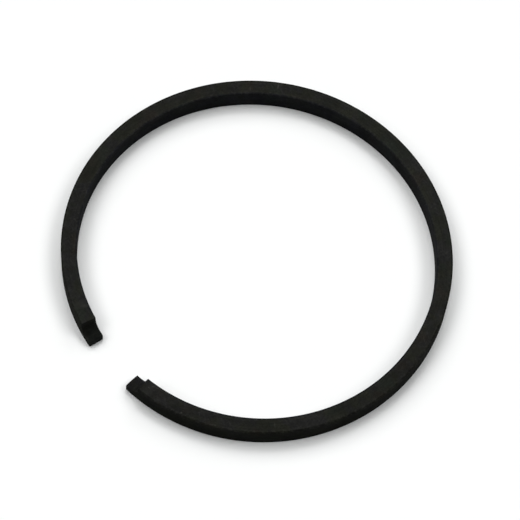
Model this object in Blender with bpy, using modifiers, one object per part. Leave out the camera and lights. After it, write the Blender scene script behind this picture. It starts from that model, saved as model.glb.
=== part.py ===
"""Piston ring of a small two-stroke engine, lying free on its lower flank.

A plain rectangular compression ring, turned in cast iron, split, and notched in
its upper flank at both ends for the pin that stops it from turning in its groove.
It is shown as it springs open when nothing holds it. That free shape isn't a
circle: it is the curve that closes to the round bore and presses on it evenly.

Metres, +Z up. The gap faces -Y. The origin is under the middle of the ring's
overall box, on the plane of the lower flank.
"""

import math

import bmesh
import bpy
from mathutils import Vector

# Section and shape of the ring
BORE_DIAMETER = 0.0400
RING_HEIGHT = 0.0025
RADIAL_WIDTH = 0.0017
CLOSED_GAP = 0.0002
FREE_GAP = 0.00595
EDGE_BREAK = 0.00008

# Notch at each end for the locating pin
NOTCH_LENGTH = 0.0016
NOTCH_DEPTH = 0.0015
NOTCH_ROOT_RADIUS = 0.0011

# Number of straight steps from the back of the ring to one notch, and in each rounding
HALF_RING_STEPS = 120
EDGE_STEPS = 2
ROOT_STEPS = 8

# Edges turning by more than this are broken, and less is a curve
SHARP_EDGE_ANGLE = math.radians(40.0)
SMOOTH_SHADING_ANGLE = math.radians(30.0)

# How far a notch's root stays from the nearest section, how far the cutters run past
# the ring, and the distance at which doubled points are one
ROOT_MARGIN = 0.0003
CUTTER_OVERRUN = 0.0010
WELD_DISTANCE = 0.000001

# Black phosphated cast iron
RING_COLOUR = (0.018, 0.019, 0.018, 1.0)
RING_ROUGHNESS = 0.55
RING_METALLIC = 0.35


def clear_scene():
    """Remove whatever the scene holds."""
    for scene_object in list(bpy.data.objects):
        bpy.data.objects.remove(scene_object, do_unlink=True)


def new_collection(name):
    """Return a new collection linked to the scene."""
    collection = bpy.data.collections.new(name)
    bpy.context.scene.collection.children.link(collection)
    return collection


def ring_material():
    """Return the ring's dark, slightly metallic material."""
    material = bpy.data.materials.new("phosphated_cast_iron")
    material.use_nodes = True
    shader = material.node_tree.nodes["Principled BSDF"]
    shader.inputs["Base Color"].default_value = RING_COLOUR
    shader.inputs["Roughness"].default_value = RING_ROUGHNESS
    shader.inputs["Metallic"].default_value = RING_METALLIC
    material.diffuse_color = RING_COLOUR
    return material


def station_angles(closed_radius):
    """Return the angles from the back to one end at which the ring's section is placed.

    They are even as far as the notch. The notched end has one more, halfway along the
    level part of the notch's floor, so that none meets the notch's curved root.
    """
    end = math.pi - CLOSED_GAP / (2 * closed_radius)
    notch_start = end - (NOTCH_LENGTH + ROOT_MARGIN) / closed_radius
    floor_middle = end - (NOTCH_LENGTH - NOTCH_ROOT_RADIUS) / 2 / closed_radius
    even = [notch_start * index / HALF_RING_STEPS for index in range(HALF_RING_STEPS + 1)]
    return even + [floor_middle, end]


def half_centreline(opening):
    """Return points and headings along the section's centre, from the back to one end.

    The closed ring is a circle, and phi is the angle round it from the back. Even
    pressure on the bore bends it by an amount that goes as 1 + cos(phi), so free of
    the bore the heading falls behind phi by opening * (phi + sin(phi)).
    """
    closed_radius = (BORE_DIAMETER - RADIAL_WIDTH) / 2

    def heading(phi):
        return phi - opening * (phi + math.sin(phi))

    angles = station_angles(closed_radius)
    points = [Vector((0.0, closed_radius, 0.0))]
    for start, stop in zip(angles, angles[1:]):
        course = heading((start + stop) / 2)
        stride = Vector((math.cos(course), -math.sin(course), 0.0))
        points.append(points[-1] + stride * closed_radius * (stop - start))
    return points, [heading(phi) for phi in angles]


def opening_for_free_gap():
    """Return the opening factor at which the free ends stand FREE_GAP apart."""
    low, high = 0.0, 0.5
    for _ in range(60):
        trial = (low + high) / 2
        points, _headings = half_centreline(trial)
        if 2 * points[-1].x < FREE_GAP:
            low = trial
        else:
            high = trial
    return (low + high) / 2


def centred_half(points, headings):
    """Shift the half centreline so that the ring's overall box is centred on the origin."""
    outer_y = [
        point.y + math.cos(angle) * RADIAL_WIDTH / 2
        for point, angle in zip(points, headings)
    ]
    middle_y = (max(outer_y) + min(outer_y)) / 2
    return [point - Vector((0.0, middle_y, 0.0)) for point in points]


def section_curve(collection):
    """Return the plain rectangular section as a closed curve, radial in X and axial in Y."""
    curve = bpy.data.curves.new("ring_section", "CURVE")
    curve.dimensions = "2D"
    spline = curve.splines.new("POLY")
    spline.points.add(3)
    corners = ((1, 1), (-1, 1), (-1, -1), (1, -1))
    for point, (side, level) in zip(spline.points, corners):
        point.co = (side * RADIAL_WIDTH / 2, level * RING_HEIGHT / 2, 0.0, 1.0)
    spline.use_cyclic_u = True
    guide = bpy.data.objects.new("ring_section", curve)
    guide.hide_render = True
    guide.display_type = "WIRE"
    collection.objects.link(guide)
    return guide


def swept_ring(points, section, collection):
    """Sweep the section along the whole centreline and return the path's curve object."""
    mirrored = [Vector((-point.x, point.y, 0.0)) for point in reversed(points[1:])]
    path_points = mirrored + points
    curve = bpy.data.curves.new("ring_path", "CURVE")
    curve.dimensions = "3D"
    curve.twist_mode = "Z_UP"
    curve.bevel_mode = "OBJECT"
    curve.bevel_object = section
    curve.use_fill_caps = True
    spline = curve.splines.new("POLY")
    spline.points.add(len(path_points) - 1)
    for point, place in zip(spline.points, path_points):
        point.co = (place.x, place.y, RING_HEIGHT / 2, 1.0)
    path = bpy.data.objects.new("ring_path", curve)
    collection.objects.link(path)
    return path


def mesh_from_curve(path, name, collection):
    """Turn a swept curve into a closed mesh object and remove the curve."""
    bpy.context.view_layer.update()
    evaluated = path.evaluated_get(bpy.context.evaluated_depsgraph_get())
    mesh = bpy.data.meshes.new_from_object(evaluated)
    mesh.name = name
    body = bmesh.new()
    body.from_mesh(mesh)
    bmesh.ops.remove_doubles(body, verts=body.verts, dist=WELD_DISTANCE)
    bmesh.ops.recalc_face_normals(body, faces=body.faces)
    body.to_mesh(mesh)
    body.free()
    result = bpy.data.objects.new(name, mesh)
    result.matrix_world = path.matrix_world
    collection.objects.link(result)
    bpy.data.objects.remove(path, do_unlink=True)
    return result


def notch_cutter(name, end, inward_angle, collection):
    """Return the cutter for one notch, a block whose lower inner edge is rounded.

    Its own X runs from the ring's end along the ring, and Y is radial.
    """
    floor = RING_HEIGHT - NOTCH_DEPTH
    length = NOTCH_LENGTH + CUTTER_OVERRUN
    width = RADIAL_WIDTH + 2 * CUTTER_OVERRUN
    height = NOTCH_DEPTH + CUTTER_OVERRUN
    centre = Vector((NOTCH_LENGTH - length / 2, 0.0, floor + height / 2))
    block = bmesh.new()
    bmesh.ops.create_cube(block, size=1.0)
    bmesh.ops.scale(block, vec=(length, width, height), verts=block.verts)
    bmesh.ops.translate(block, vec=centre, verts=block.verts)
    root_edges = [
        edge
        for edge in block.edges
        if all(vert.co.x > centre.x and vert.co.z < centre.z for vert in edge.verts)
    ]
    root_radius = min(NOTCH_ROOT_RADIUS, NOTCH_DEPTH, NOTCH_LENGTH)
    bmesh.ops.bevel(
        block,
        geom=root_edges,
        offset=root_radius,
        offset_type="OFFSET",
        segments=ROOT_STEPS,
        profile=0.5,
        affect="EDGES",
    )
    mesh = bpy.data.meshes.new(name)
    block.to_mesh(mesh)
    block.free()
    cutter = bpy.data.objects.new(name, mesh)
    cutter.location = (end.x, end.y, 0.0)
    cutter.rotation_euler = (0.0, 0.0, inward_angle)
    cutter.hide_render = True
    cutter.display_type = "WIRE"
    collection.objects.link(cutter)
    return cutter


def notch_cutters(points, headings, collection):
    """Return the cutters for both ends, each set along the ring at its own end."""
    end = points[-1]
    back_along = math.pi - headings[-1]
    right = notch_cutter("notch_right", end, back_along, collection)
    left_end = Vector((-end.x, end.y, 0.0))
    left = notch_cutter("notch_left", left_end, math.pi - back_along, collection)
    return [right, left]


def cut(body, cutters):
    """Subtract each cutter from the body."""
    for cutter in cutters:
        boolean = body.modifiers.new(cutter.name, "BOOLEAN")
        boolean.operation = "DIFFERENCE"
        boolean.solver = "EXACT"
        boolean.object = cutter


def break_edges(body):
    """Round every sharp edge a little, on the ring, its ends and its notches."""
    bevel = body.modifiers.new("edge_break", "BEVEL")
    bevel.width = EDGE_BREAK
    bevel.segments = EDGE_STEPS
    bevel.limit_method = "ANGLE"
    bevel.angle_limit = SHARP_EDGE_ANGLE
    bevel.use_clamp_overlap = True


def build_ring():
    """Build the ring and return its object."""
    parts = new_collection("piston_ring")
    tools = new_collection("cutters")
    points, headings = half_centreline(opening_for_free_gap())
    points = centred_half(points, headings)
    section = section_curve(tools)
    path = swept_ring(points, section, parts)
    ring = mesh_from_curve(path, "piston_ring", parts)
    ring.data.materials.clear()
    ring.data.materials.append(ring_material())
    cut(ring, notch_cutters(points, headings, tools))
    break_edges(ring)
    ring.data.shade_smooth()
    ring.data.set_sharp_from_angle(angle=SMOOTH_SHADING_ANGLE)
    return ring


clear_scene()
build_ring()
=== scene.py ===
import math
from collections import namedtuple

import bpy
from mathutils import Matrix, Vector
from mathutils.noise import noise


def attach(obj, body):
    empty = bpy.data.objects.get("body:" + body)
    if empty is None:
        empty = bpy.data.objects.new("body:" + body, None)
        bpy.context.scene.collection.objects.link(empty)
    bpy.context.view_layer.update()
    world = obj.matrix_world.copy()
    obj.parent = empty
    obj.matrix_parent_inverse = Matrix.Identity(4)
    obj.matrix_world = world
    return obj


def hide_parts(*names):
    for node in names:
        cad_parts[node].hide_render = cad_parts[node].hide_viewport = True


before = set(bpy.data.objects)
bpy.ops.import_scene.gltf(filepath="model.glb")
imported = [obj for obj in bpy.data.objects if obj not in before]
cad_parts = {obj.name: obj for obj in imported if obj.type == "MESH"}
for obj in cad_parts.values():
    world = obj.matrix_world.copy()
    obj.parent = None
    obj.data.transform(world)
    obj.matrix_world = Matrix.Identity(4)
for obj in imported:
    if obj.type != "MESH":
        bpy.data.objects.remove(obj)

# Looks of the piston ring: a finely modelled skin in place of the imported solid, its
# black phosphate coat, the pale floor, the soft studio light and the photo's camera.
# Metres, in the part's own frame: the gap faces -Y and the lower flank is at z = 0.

# The ring, with the sizes of the part itself
BORE_DIAMETER = 0.0400
RING_HEIGHT = 0.0025
RADIAL_WIDTH = 0.0017
CLOSED_GAP = 0.0002
FREE_GAP = 0.00595
EDGE_BREAK = 0.00008
NOTCH_LENGTH = 0.0016
NOTCH_DEPTH = 0.0015
NOTCH_ROOT_RADIUS = 0.0011

# Lapping carries the edges' rounding further across the flanks than down the walls, and leaves
# the flanks a little lower towards them. All edges vary along the ring
EDGE_LAP = 0.00020
EDGE_VARIATION = 0.35
EDGE_VARIATION_LENGTH = 0.0011
EDGE_NOISE_SPACING = 10.0
FLANK_ROLL_OFF = 0.000022
ROLL_OFF_POWER = 4
CUT_CORNER = 1.2 * EDGE_BREAK
EDGE_REACH = 0.00035

# How the free shape is solved for: the largest opening that is tried, how often the range
# is halved, and the steps of a trial
LARGEST_OPENING = 0.5
HALVINGS = 40
TRIAL_STEPS = 500

# How closely the skin is divided: the centreline's table, sections along one half, its
# notch and its end, and points across a flank, up a wall and round an edge
TABLE_STEPS = 3000
EVEN_SECTIONS = 400
STEP_SECTIONS = 8
ROOT_SECTIONS = 14
FLOOR_SECTIONS = 12
END_SECTIONS = 6
FLANK_POINTS = 13
WALL_POINTS = 11
EDGE_POINTS = 5

# Zones of the skin, each with its own finish, whose colour on the walls and in the notches is set
# darker than the flank's as painted shade
FLANK, OUTSIDE, INSIDE, LEFT_CUT, RIGHT_CUT = range(5)

# The coat: sizes of its grain, clouds, tints, rusty and green patches, streaks and rubbing,
# and of a painted light: a slow change of the flank's shade round the ring, whose start is set
# so that one side of the ring comes out lighter and the other darker, as the light falls
GRAIN_SIZE = 0.00016
GRAIN_DEPTH = 0.000003
CLOUD_SIZE = 0.0019
TINT_SIZE = 0.0016
PATCH_SIZE = 0.0026
STREAK_SIZE = (0.0011, 0.00018)
STREAK_TURNS = (57.0, -38.0)
RUB_SIZE = 0.00035
PAINTED_LIGHT_DRIFT_SIZE = 0.026
PAINTED_LIGHT_DRIFT_START = (8.4, 12.5, 9.2)
COAT_ROUGHNESS = (0.70, 0.88)

# Noise values between which each of these goes from one end of its effect to the other
CLOUD_RANGE = (0.40, 0.60)
SLATE_RANGE = (0.40, 0.60)
RUST_RANGE = (0.57, 0.66)
GREEN_RANGE = (0.43, 0.34)
SPECKLE_RANGE = (0.38, 0.62)
SMEAR_RANGE = (0.44, 0.26)
# Painted light: the range of the slow change that lightens one side of the flank and darkens the
# other
PAINTED_LIGHT_DRIFT_RANGE = (0.30, 0.61)
RUB_RANGE = (0.50, 0.60)
HANDLED_RANGE = (0.48, 0.60)
SCUFF_RANGE = (0.58, 0.72)
ROUGHNESS_RANGE = (0.3, 0.7)

# Colours of the coat's tints and of the iron under it, how far grain and tool marks speckle
# it, and the share of the tool marks in that
OLIVE_TINT = (1.02, 1.04, 0.92, 1.0)
SLATE_TINT = (0.985, 0.97, 1.08, 1.0)
RUST_TINT = (1.08, 0.98, 0.94, 1.0)
GREEN_TINT = (0.95, 1.05, 0.98, 1.0)
BARE_IRON = (0.036, 0.035, 0.032, 1.0)
SPECKLE = (0.70, 1.30)
TOOL_SHARE = 0.3

# The trace of oil left on the turned walls, which shows where they are seen at a low angle
OIL_IOR = 1.2
OIL_ROUGHNESS = 0.25

# Pale patches and bright marks on the upper flank: distance along from the back, distance
# outward from the middle, turn from the ring's own direction in degrees, length, width and
# strength. Each fades out between the given shares of its half length and width
MARK_FADE = (0.4, 1.2)
MARKS = (
    (0.0437, -0.00005, 90.0, 0.00075, 0.00014, 0.5),
    (-0.0154, 0.00030, 88.0, 0.00070, 0.00020, 1.0),
    (-0.01845, -0.00025, 90.0, 0.00065, 0.00020, 0.5),
    (-0.0225, 0.00010, 86.0, 0.00060, 0.00018, 0.3),
    (-0.0566, -0.00030, 70.0, 0.00110, 0.00050, 0.5),
    (-0.0563, 0.00010, 90.0, 0.00280, 0.00110, 0.24),
    (0.0574, -0.00045, 35.0, 0.00050, 0.00014, 0.9),
    (0.0577, -0.00010, 0.0, 0.00030, 0.00016, 0.9),
    (0.0569, -0.00060, 40.0, 0.00045, 0.00014, 0.7),
    (0.0576, 0.00010, 90.0, 0.00280, 0.00140, 0.24),
    (0.0534, 0.00050, 0.0, 0.00022, 0.00020, 0.9),
)

# Camera, as fitted to the photo
CAMERA_TARGET = Vector((0.000147, 0.000104, 0.0))
CAMERA_AZIMUTH = math.radians(45.473)
CAMERA_ELEVATION = math.radians(63.623)
CAMERA_ROLL = math.radians(5.651)
CAMERA_DISTANCE = 0.279387
CAMERA_LENS = 180.0
SENSOR_WIDTH = 36.0

# Soft lamps: azimuth anticlockwise from +X, elevation, angle across, and the share of
# full white that each gives a level white surface
LAMPS = (
    ("lamp_right", 46.5, 56.0, 27.3, 0.205),
    ("lamp_back", 110.0, 54.4, 44.0, 0.195),
    ("lamp_high", 131.8, 65.5, 11.7, 0.082),
    ("lamp_left", 190.3, 59.0, 47.3, 0.344),
    ("lamp_front", 248.6, 55.7, 26.5, 0.139),
)

# What the dome and the floor give as light, where both are white to the camera and in
# reflections
DOME_GLOW = (0.039, 0.050, 0.046, 1.0)
FLOOR_GREY = (0.8, 0.8, 0.8, 1.0)
WHITE = (1.0, 1.0, 1.0, 1.0)
FLOOR_HALF_WIDTH = 3.0
FLOOR_DROP = 0.00001


def half_centreline(opening, steps):
    """Return (point, heading) at even distances from the back of the ring to one end.

    Closed, the ring is a circle and phi is the angle round it from the back. Free, its
    heading falls behind phi by opening * (phi + sin(phi)).
    """
    radius = (BORE_DIAMETER - RADIAL_WIDTH) / 2
    end = math.pi - CLOSED_GAP / (2 * radius)
    stride = radius * end / steps

    def heading(phi):
        return phi - opening * (phi + math.sin(phi))

    point = Vector((0.0, radius, 0.0))
    line = [(point, 0.0)]
    for step in range(steps):
        course = heading(end * (step + 0.5) / steps)
        point = point + Vector((math.cos(course), -math.sin(course), 0.0)) * stride
        line.append((point, heading(end * (step + 1) / steps)))
    return line


def opening_for_free_gap():
    """Return the opening at which the ends of the free ring stand FREE_GAP apart."""
    low, high = 0.0, LARGEST_OPENING
    for _ in range(HALVINGS):
        trial = (low + high) / 2
        end, _heading = half_centreline(trial, TRIAL_STEPS)[-1]
        if 2 * end.x < FREE_GAP:
            low = trial
        else:
            high = trial
    return (low + high) / 2


class Centreline:
    """The line through the middle of the section, by signed distance from the back."""

    def __init__(self):
        self.half_length = math.pi * (BORE_DIAMETER - RADIAL_WIDTH) / 2 - CLOSED_GAP / 2
        self.table = half_centreline(opening_for_free_gap(), TABLE_STEPS)
        outer_y = [point.y + math.cos(angle) * RADIAL_WIDTH / 2 for point, angle in self.table]
        self.middle = Vector((0.0, (max(outer_y) + min(outer_y)) / 2, 0.0))

    def place(self, along, outward, height):
        """Return the point that far along, that far outward and that high."""
        share = min(abs(along) / self.half_length, 1.0) * TABLE_STEPS
        index = min(int(share), TABLE_STEPS - 1)
        rest = share - index
        (start, start_angle), (stop, stop_angle) = self.table[index], self.table[index + 1]
        point = start.lerp(stop, rest) - self.middle
        angle = start_angle + (stop_angle - start_angle) * rest
        x = point.x + math.sin(angle) * outward
        y = point.y + math.cos(angle) * outward
        return Vector((math.copysign(x, along), y, height))


def arc(centre, radius, start, stop, steps, zone, hollow=False):
    """Return (along, height, inward normal, zone) round an arc, without its first point."""
    inward = 1.0 if hollow else -1.0
    points = []
    for step in range(1, steps + 1):
        angle = math.radians(start + (stop - start) * step / steps)
        out = Vector((math.cos(angle), math.sin(angle)))
        points.append((*(Vector(centre) + out * radius), out * inward, zone))
    return points


def run(start, stop, normal, steps, zone):
    """Return (along, height, inward normal, zone) on a straight run, without its first point."""
    first, last = Vector(start), Vector(stop)
    return [(*first.lerp(last, step / steps), Vector(normal), zone) for step in range(1, steps + 1)]


def half_outline(length):
    """Return the right half's upper and lower outline from the side, as matching points.

    Both run from the back to the end, where they meet halfway up the end wall.
    """
    floor = RING_HEIGHT - NOTCH_DEPTH
    step = length - NOTCH_LENGTH
    root = NOTCH_ROOT_RADIUS
    corner = CUT_CORNER
    brink = step - corner
    tip = length - corner
    down, up, back = (0.0, -1.0), (0.0, 1.0), (-1.0, 0.0)

    upper = [(0.0, RING_HEIGHT, Vector(down), FLANK)]
    upper += run((0.0, RING_HEIGHT), (brink, RING_HEIGHT), down, EVEN_SECTIONS, FLANK)
    upper += arc((brink, RING_HEIGHT - corner), corner, 90, 0, EDGE_POINTS, RIGHT_CUT)
    upper += run((step, RING_HEIGHT - corner), (step, floor + root), back, STEP_SECTIONS, RIGHT_CUT)
    upper += arc((step + root, floor + root), root, 180, 270, ROOT_SECTIONS, RIGHT_CUT, hollow=True)
    upper += run((step + root, floor), (tip, floor), down, FLOOR_SECTIONS, RIGHT_CUT)
    under_notch = len(upper) - 1 - EVEN_SECTIONS
    upper += arc((tip, floor - corner), corner, 90, 0, EDGE_POINTS, RIGHT_CUT)
    upper += run((length, floor - corner), (length, floor / 2), back, END_SECTIONS, RIGHT_CUT)

    lower = [(0.0, 0.0, Vector(up), FLANK)]
    lower += run((0.0, 0.0), (brink, 0.0), up, EVEN_SECTIONS, FLANK)
    lower += run((brink, 0.0), (tip, 0.0), up, under_notch, FLANK)
    lower += arc((tip, corner), corner, 270, 360, EDGE_POINTS, RIGHT_CUT)
    lower += run((length, corner), (length, floor / 2), back, END_SECTIONS, RIGHT_CUT)
    return upper, lower


def whole_outline(length):
    """Return (upper point, lower point) for every section, from the left end to the right."""

    def mirrored(point):
        along, height, normal, zone = point
        zone = LEFT_CUT if zone == RIGHT_CUT else zone
        return -along, height, Vector((-normal.x, normal.y)), zone

    right = list(zip(*half_outline(length)))
    left = [(mirrored(upper), mirrored(lower)) for upper, lower in reversed(right[1:])]
    return left + right


def edge_points(outline_point, side, seed):
    """Return the points round one edge, from the flank to the wall, as (along, outward, height)."""
    along, height, normal, zone = outline_point
    lap = EDGE_LAP if zone == FLANK else EDGE_BREAK
    wave = noise(Vector((along / EDGE_VARIATION_LENGTH, EDGE_NOISE_SPACING * seed, 0.0)))
    share = 1.0 + EDGE_VARIATION * (wave - 1.0) / 2
    points = []
    for step in range(EDGE_POINTS + 1):
        angle = math.pi / 2 * step / EDGE_POINTS
        inset = FLANK_ROLL_OFF + share * EDGE_BREAK * (1.0 - math.cos(angle))
        outward = RADIAL_WIDTH / 2 - share * lap * (1.0 - math.sin(angle))
        points.append((along + normal.x * inset, side * outward, height + normal.y * inset))
    return points


def flank_points(outline_point, start, stop):
    """Return the points across a flank between two edges, lower towards both."""
    along, height, normal, _zone = outline_point
    points = []
    for index in range(1, FLANK_POINTS + 1):
        across = 2.0 * index / (FLANK_POINTS + 1) - 1.0
        outward = (start[1] + stop[1]) / 2 + across * (stop[1] - start[1]) / 2
        inset = FLANK_ROLL_OFF * abs(across) ** ROLL_OFF_POWER
        points.append((along + normal.x * inset, outward, height + normal.y * inset))
    return points


def edge_mark(point, start, stop):
    """Return 1 at either of two edges, falling to 0 at EDGE_REACH from both."""
    nearest = min((Vector(point) - Vector(edge)).length for edge in (start, stop))
    return max(0.0, 1.0 - nearest / EDGE_REACH)


def wall_points(start, stop):
    """Return the points up or down a wall, strictly between two edges."""
    steps = WALL_POINTS + 1
    return [tuple(Vector(start).lerp(Vector(stop), index / steps)) for index in range(1, steps)]


def section(upper, lower):
    """Return one closed section as a list of (point, edge mark, zone of the face after it).

    It starts low on the inside and goes up, outward over the top, down and back.
    """
    low_in = edge_points(lower, -1, 1)
    high_in = edge_points(upper, -1, 2)[::-1]
    high_out = edge_points(upper, 1, 3)
    low_out = edge_points(lower, 1, 4)[::-1]
    stretches = (
        (low_in, wall_points(low_in[-1], high_in[0]), INSIDE, INSIDE, high_in[0]),
        (high_in, flank_points(upper, high_in[-1], high_out[0]), INSIDE, upper[3], high_out[0]),
        (high_out, wall_points(high_out[-1], low_out[0]), OUTSIDE, OUTSIDE, low_out[0]),
        (low_out, flank_points(lower, low_out[-1], low_in[0]), OUTSIDE, lower[3], low_in[0]),
    )
    points = []
    for edge, plain, edge_zone, plain_zone, stop in stretches:
        points += [(point, 1.0, edge_zone) for point in edge[:-1]]
        points += [(edge[-1], 1.0, plain_zone)]
        points += [(point, edge_mark(point, edge[-1], stop), plain_zone) for point in plain]
    return points


def shares(lengths):
    """Return the running total of some lengths as shares of their sum, and the sum."""
    total, running = sum(lengths), 0.0
    result = [0.0]
    for length in lengths:
        running += length
        result.append(running / total)
    return result, total


def ring_mesh(centreline):
    """Return the ring's skin, and the length and girth that its UV map, the wrap, stands for.

    Its zones are material indices, and the attribute edge marks what lies near an edge.
    """
    outline = whole_outline(centreline.half_length)
    rows = [section(upper, lower) for upper, lower in outline]
    columns = len(rows[0])
    points = [centreline.place(*point) for row in rows for point, _mark, _zone in row]
    marks = [mark for row in rows for _point, mark, _zone in row]

    faces, zones, wraps = [], [], []
    tops = [Vector((upper[0], upper[1])) for upper, _lower in outline]
    along, wrap_length = shares([(b - a).length for a, b in zip(tops, tops[1:])])
    middle = [Vector(point) for point, _mark, _zone in rows[len(rows) // 2]]
    around, wrap_girth = shares([(b - a).length for a, b in zip(middle, middle[1:] + middle[:1])])
    for row in range(len(rows) - 1):
        for column in range(columns):
            following = (column + 1) % columns
            first, second = row * columns, (row + 1) * columns
            faces.append((first + column, second + column, second + following, first + following))
            zones.append(rows[row + (row < len(rows) // 2)][column][2])
            wraps += [
                (along[row], around[column]),
                (along[row + 1], around[column]),
                (along[row + 1], around[column + 1]),
                (along[row], around[column + 1]),
            ]

    mesh = bpy.data.meshes.new("ring_skin")
    mesh.from_pydata(points, [], faces)
    mesh.polygons.foreach_set("material_index", zones)
    wrap = mesh.uv_layers.new(name="wrap")
    wrap.data.foreach_set("uv", [value for pair in wraps for value in pair])
    edge = mesh.attributes.new("edge", "FLOAT", "POINT")
    edge.data.foreach_set("value", marks)
    mesh.shade_smooth()
    return mesh, (wrap_length, wrap_girth)


def add_node(tree, kind, inputs=(), **settings):
    """Add a node with its settings and inputs, where an input may be a socket to link."""
    node = tree.nodes.new(kind)
    for name, value in settings.items():
        setattr(node, name, value)
    for name, value in dict(inputs).items():
        if isinstance(value, bpy.types.NodeSocket):
            tree.links.new(value, node.inputs[name])
        else:
            node.inputs[name].default_value = value
    return node


def noise_field(tree, vector, scale, detail, roughness=0.5):
    """Return the value of a noise texture on the given coordinates."""
    inputs = {"Vector": vector, "Scale": scale, "Detail": detail, "Roughness": roughness}
    return add_node(tree, "ShaderNodeTexNoise", inputs).outputs["Fac"]


def blend(tree, factor, first, second):
    """Return the mix of two colours."""
    inputs = {"Factor": factor, 6: first, 7: second}
    return add_node(tree, "ShaderNodeMix", inputs, data_type="RGBA").outputs[2]


def remap(tree, value, low, high, to_low, to_high):
    """Return a value carried from one range to another and held within it."""
    inputs = {0: value, 1: low, 2: high, 3: to_low, 4: to_high}
    return add_node(tree, "ShaderNodeMapRange", inputs).outputs[0]


def times(tree, first, second):
    """Return the product of two values."""
    return add_node(tree, "ShaderNodeMath", {0: first, 1: second}, operation="MULTIPLY").outputs[0]


def larger(tree, first, second):
    """Return the larger of two values."""
    return add_node(tree, "ShaderNodeMath", {0: first, 1: second}, operation="MAXIMUM").outputs[0]


def lesser(tree, first, second):
    """Return the smaller of two values."""
    return add_node(tree, "ShaderNodeMath", {0: first, 1: second}, operation="MINIMUM").outputs[0]


def drawn_out(tree, laid, turn, size):
    """Return a noise of streaks of the given length and width, turned from the ring's direction."""
    inputs = {"Vector": laid, "Rotation": (0.0, 0.0, math.radians(turn))}
    turned = add_node(tree, "ShaderNodeMapping", inputs).outputs[0]
    inputs = {"Vector": turned, "Scale": (1.0 / size[0], 1.0 / size[1], 1.0)}
    return noise_field(tree, add_node(tree, "ShaderNodeMapping", inputs).outputs[0], 1.0, 2.0)


def bright_marks(tree, place, centreline):
    """Return where the upper flank has its bright marks, each an oval with a soft edge."""
    found = None
    for along, outward, turn, length, width, strength in MARKS:
        before = centreline.place(along - width, outward, RING_HEIGHT)
        after = centreline.place(along + width, outward, RING_HEIGHT)
        course = math.atan2(after.y - before.y, after.x - before.x) + math.radians(turn)
        inputs = {
            "Vector": place,
            "Location": (before + after) / 2,
            "Rotation": (0.0, 0.0, course),
            "Scale": (length / 2, width / 2, EDGE_REACH),
        }
        local = add_node(tree, "ShaderNodeMapping", inputs, vector_type="TEXTURE").outputs[0]
        away = add_node(tree, "ShaderNodeVectorMath", {0: local}, operation="LENGTH").outputs[1]
        mark = remap(tree, away, *MARK_FADE, strength, 0.0)
        found = mark if found is None else larger(tree, found, mark)
    return found


FINISH_FIELDS = "name dark light drift specular oil tool_spacing tool_depth wear streaks marked"
Finish = namedtuple("Finish", FINISH_FIELDS)


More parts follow.
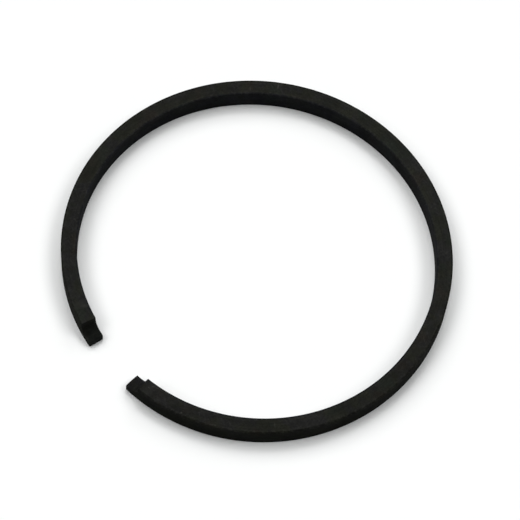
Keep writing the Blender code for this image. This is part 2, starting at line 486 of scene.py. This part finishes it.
def coat(finish, wrap_size, centreline):
    """Return the phosphate coat on one kind of surface, as its finish says, with the painted light
    and shade in its colours.

    dark and light bound its colour; on the walls and in the notches they are set darker than on
    the flank, as painted shade. drift is by what share a painted light changes the colour slowly
    from one part of the ring to another, lighter on one side and darker on the other, as the
    light falls. specular is how much the coat itself shines, and oil how much
    oil lies on it. tool_spacing is how far apart the tool's marks are along and around the
    wrap, and tool_depth how deep. wear is how far the edges are rubbed bright, streaks how
    strong the streaks of handling are, and marked whether it has bright marks.
    """
    material = bpy.data.materials.new(finish.name)
    material.use_nodes = True
    tree = material.node_tree
    shader = tree.nodes["Principled BSDF"]
    place = add_node(tree, "ShaderNodeTexCoord").outputs["Object"]
    wrap = add_node(tree, "ShaderNodeUVMap", uv_map="wrap").outputs["UV"]
    inputs = {"Vector": wrap, "Scale": (*wrap_size, 1.0)}
    laid = add_node(tree, "ShaderNodeMapping", inputs).outputs[0]

    tool = drawn_out(tree, laid, 0.0, finish.tool_spacing)
    grain = noise_field(tree, place, 1.0 / GRAIN_SIZE, 4.0, 0.7)
    clouds = noise_field(tree, place, 1.0 / CLOUD_SIZE, 4.0, 0.65)
    tints = noise_field(tree, place, 1.0 / TINT_SIZE, 2.0)
    patches = noise_field(tree, place, 1.0 / PATCH_SIZE, 2.0)
    # Painted light: a slow noise, started where it lightens one side of the ring and darkens the
    # other
    inputs = {"Vector": place, "Location": PAINTED_LIGHT_DRIFT_START, "Scale": (1.0 / PAINTED_LIGHT_DRIFT_SIZE,) * 3}
    painted_light_noise = noise_field(tree, add_node(tree, "ShaderNodeMapping", inputs).outputs[0], 1.0, 1.0)
    streaks = [drawn_out(tree, laid, turn, STREAK_SIZE) for turn in STREAK_TURNS]

    uneven = blend(tree, remap(tree, clouds, *CLOUD_RANGE, 0.0, 1.0), finish.dark, finish.light)
    tint = blend(tree, remap(tree, tints, *SLATE_RANGE, 0.0, 1.0), OLIVE_TINT, SLATE_TINT)
    tint = blend(tree, remap(tree, patches, *RUST_RANGE, 0.0, 1.0), tint, RUST_TINT)
    tint = blend(tree, remap(tree, patches, *GREEN_RANGE, 0.0, 1.0), tint, GREEN_TINT)
    speckle = remap(tree, blend(tree, TOOL_SHARE, grain, tool), *SPECKLE_RANGE, *SPECKLE)
    smears = remap(tree, lesser(tree, *streaks), *SMEAR_RANGE, 1.0, 1.0 - finish.streaks / 2)
    drift = remap(tree, painted_light_noise, *PAINTED_LIGHT_DRIFT_RANGE, 1.0 - finish.drift, 1.0 + finish.drift)
    inputs = {0: uneven, 1: tint}
    tinted = add_node(tree, "ShaderNodeVectorMath", inputs, operation="MULTIPLY").outputs[0]
    inputs = {0: tinted, "Scale": times(tree, drift, times(tree, speckle, smears))}
    grained = add_node(tree, "ShaderNodeVectorMath", inputs, operation="SCALE").outputs[0]

    edge = add_node(tree, "ShaderNodeAttribute", attribute_name="edge").outputs["Fac"]
    rub = noise_field(tree, place, 1.0 / RUB_SIZE, 4.0, 0.65)
    rubbed = times(tree, edge, remap(tree, rub, *RUB_RANGE, 0.0, finish.wear))
    handled = remap(tree, tints, *HANDLED_RANGE, 0.0, finish.streaks)
    scuffs = times(tree, handled, remap(tree, larger(tree, *streaks), *SCUFF_RANGE, 0.0, 1.0))
    bright = larger(tree, rubbed, scuffs)
    if finish.marked:
        bright = larger(tree, bright, bright_marks(tree, place, centreline))
    tree.links.new(blend(tree, bright, grained, BARE_IRON), shader.inputs["Base Color"])

    roughness = remap(tree, grain, *ROUGHNESS_RANGE, *COAT_ROUGHNESS)
    tree.links.new(roughness, shader.inputs["Roughness"])
    shader.inputs["Specular IOR Level"].default_value = finish.specular
    shader.inputs["Coat Weight"].default_value = finish.oil
    shader.inputs["Coat IOR"].default_value = OIL_IOR
    shader.inputs["Coat Roughness"].default_value = OIL_ROUGHNESS

    pits = add_node(tree, "ShaderNodeBump", {"Height": grain, "Distance": GRAIN_DEPTH})
    inputs = {"Height": tool, "Distance": finish.tool_depth, "Normal": pits.outputs[0]}
    lines = add_node(tree, "ShaderNodeBump", inputs)
    tree.links.new(lines.outputs[0], shader.inputs["Normal"])
    return material


def ring_materials(wrap_size, centreline):
    """Return the finish of each zone, in the order of the zones."""
    lapped = Finish(
        name="lapped_flank",
        dark=(0.0126, 0.0128, 0.0112, 1.0),
        light=(0.0164, 0.0165, 0.0145, 1.0),
        # Painted light: the flank's colour changes slowly round the ring, lighter on one side and
        # darker on the other
        drift=0.16,
        specular=0.02,
        oil=0.0,
        tool_spacing=(0.003, 0.00017),
        tool_depth=0.0000015,
        wear=0.35,
        streaks=0.42,
        marked=True,
    )
    # Painted shade: the walls' colours are darker copies of the flank's, standing in for the shade
    # on them
    outside = Finish(
        name="turned_outside_painted_shade",
        dark=(0.0064, 0.0066, 0.0053, 1.0),
        light=(0.0102, 0.0107, 0.0087, 1.0),
        drift=0.0,
        specular=0.0,
        oil=0.065,
        tool_spacing=(0.02, 0.00011),
        tool_depth=0.000006,
        wear=0.3,
        streaks=0.15,
        marked=False,
    )
    # Painted shade: the inside wall, too, is a darker copy of the flank's colour
    inside = outside._replace(
        name="turned_inside_painted_shade",
        dark=(0.0080, 0.0084, 0.0091, 1.0),
        light=(0.0124, 0.0131, 0.0140, 1.0),
        oil=0.07,
    )
    # Painted shade: the notches' colours are darker copies of the coat for the shade in them, the
    # left one darker than the right, where less light falls
    left_cut_painted_deep_shade = outside._replace(
        name="milled_left_painted_deep_shade",
        dark=(0.0054, 0.0055, 0.0051, 1.0),
        light=(0.0088, 0.0089, 0.0083, 1.0),
        specular=0.02,
        oil=0.0,
        tool_spacing=(0.0002, 0.0025),
        tool_depth=0.000005,
    )
    # Painted shade, less deep than the left notch's, as more light falls in the right notch
    right_cut_painted_shade = left_cut_painted_deep_shade._replace(
        name="milled_right_painted_shade",
        dark=(0.0077, 0.0076, 0.0079, 1.0),
        light=(0.0125, 0.0123, 0.0128, 1.0),
    )
    finishes = (lapped, outside, inside, left_cut_painted_deep_shade, right_cut_painted_shade)
    return [coat(finish, wrap_size, centreline) for finish in finishes]


def seen_white(tree, kind, dim):
    """Return a mix of two shaders, dim for what it lights and white where it is seen."""
    path = add_node(tree, "ShaderNodeLightPath")
    seen = path.outputs["Is Camera Ray"]
    for ray in ("Is Glossy Ray", "Is Transmission Ray"):
        seen = larger(tree, seen, path.outputs[ray])
    both = [add_node(tree, kind, {"Color": colour}).outputs[0] for colour in (dim, WHITE)]
    inputs = {0: seen, 1: both[0], 2: both[1]}
    return add_node(tree, "ShaderNodeMixShader", inputs).outputs[0]


def floor_material():
    """Return the floor's finish, which keeps the ring's shadow."""
    material = bpy.data.materials.new("pale_floor")
    material.use_nodes = True
    tree = material.node_tree
    tree.nodes.remove(tree.nodes["Principled BSDF"])
    surface = seen_white(tree, "ShaderNodeBsdfDiffuse", FLOOR_GREY)
    tree.links.new(surface, tree.nodes["Material Output"].inputs["Surface"])
    return material


def add_object(name, data):
    """Link a new object to the scene."""
    item = bpy.data.objects.new(name, data)
    bpy.context.scene.collection.objects.link(item)
    return item


def add_ring():
    """Put the ring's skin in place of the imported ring."""
    centreline = Centreline()
    skin, wrap_size = ring_mesh(centreline)
    ring = add_object("ring", skin)
    for material in ring_materials(wrap_size, centreline):
        ring.data.materials.append(material)
    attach(ring, "root")
    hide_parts("piston_ring")


def add_floor():
    """Lay the floor just under the ring."""
    half = FLOOR_HALF_WIDTH
    mesh = bpy.data.meshes.new("floor")
    corners = [(-half, -half, 0.0), (half, -half, 0.0), (half, half, 0.0), (-half, half, 0.0)]
    mesh.from_pydata(corners, [], [(0, 1, 2, 3)])
    mesh.materials.append(floor_material())
    floor = add_object("floor", mesh)
    floor.location.z = -FLOOR_DROP


def add_lamps():
    """Set the soft lamps round the back and the sides of the ring."""
    for name, azimuth, elevation, across, share in LAMPS:
        data = bpy.data.lights.new(name, "SUN")
        data.angle = math.radians(across)
        data.energy = share * math.pi / math.sin(math.radians(elevation))
        turn = Matrix.Rotation(math.radians(azimuth + 90), 4, "Z")
        lean = Matrix.Rotation(math.radians(90 - elevation), 4, "X")
        add_object(name, data).matrix_world = turn @ lean


def set_world():
    """Make the world a dim, even dome that looks white."""
    world = bpy.data.worlds.new("studio")
    world.use_nodes = True
    tree = world.node_tree
    tree.nodes.remove(tree.nodes["Background"])
    surface = seen_white(tree, "ShaderNodeBackground", DOME_GLOW)
    tree.links.new(surface, tree.nodes["World Output"].inputs["Surface"])
    bpy.context.scene.world = world


def add_camera():
    """Set the camera where the photo was taken from."""
    data = bpy.data.cameras.new("camera")
    data.lens = CAMERA_LENS
    data.sensor_width = SENSOR_WIDTH
    data.sensor_fit = "HORIZONTAL"
    camera = add_object("camera", data)
    stand = Matrix.Translation(CAMERA_TARGET)
    turn = Matrix.Rotation(CAMERA_AZIMUTH, 4, "Z")
    lean = Matrix.Rotation(math.pi / 2 - CAMERA_ELEVATION, 4, "X")
    back_off = Matrix.Translation((0.0, 0.0, CAMERA_DISTANCE))
    roll = Matrix.Rotation(CAMERA_ROLL, 4, "Z")
    camera.matrix_world = stand @ turn @ lean @ back_off @ roll
    bpy.context.scene.camera = camera


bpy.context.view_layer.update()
bpy.context.scene.view_settings.view_transform = "Standard"
add_ring()
add_floor()
add_lamps()
set_world()
add_camera()
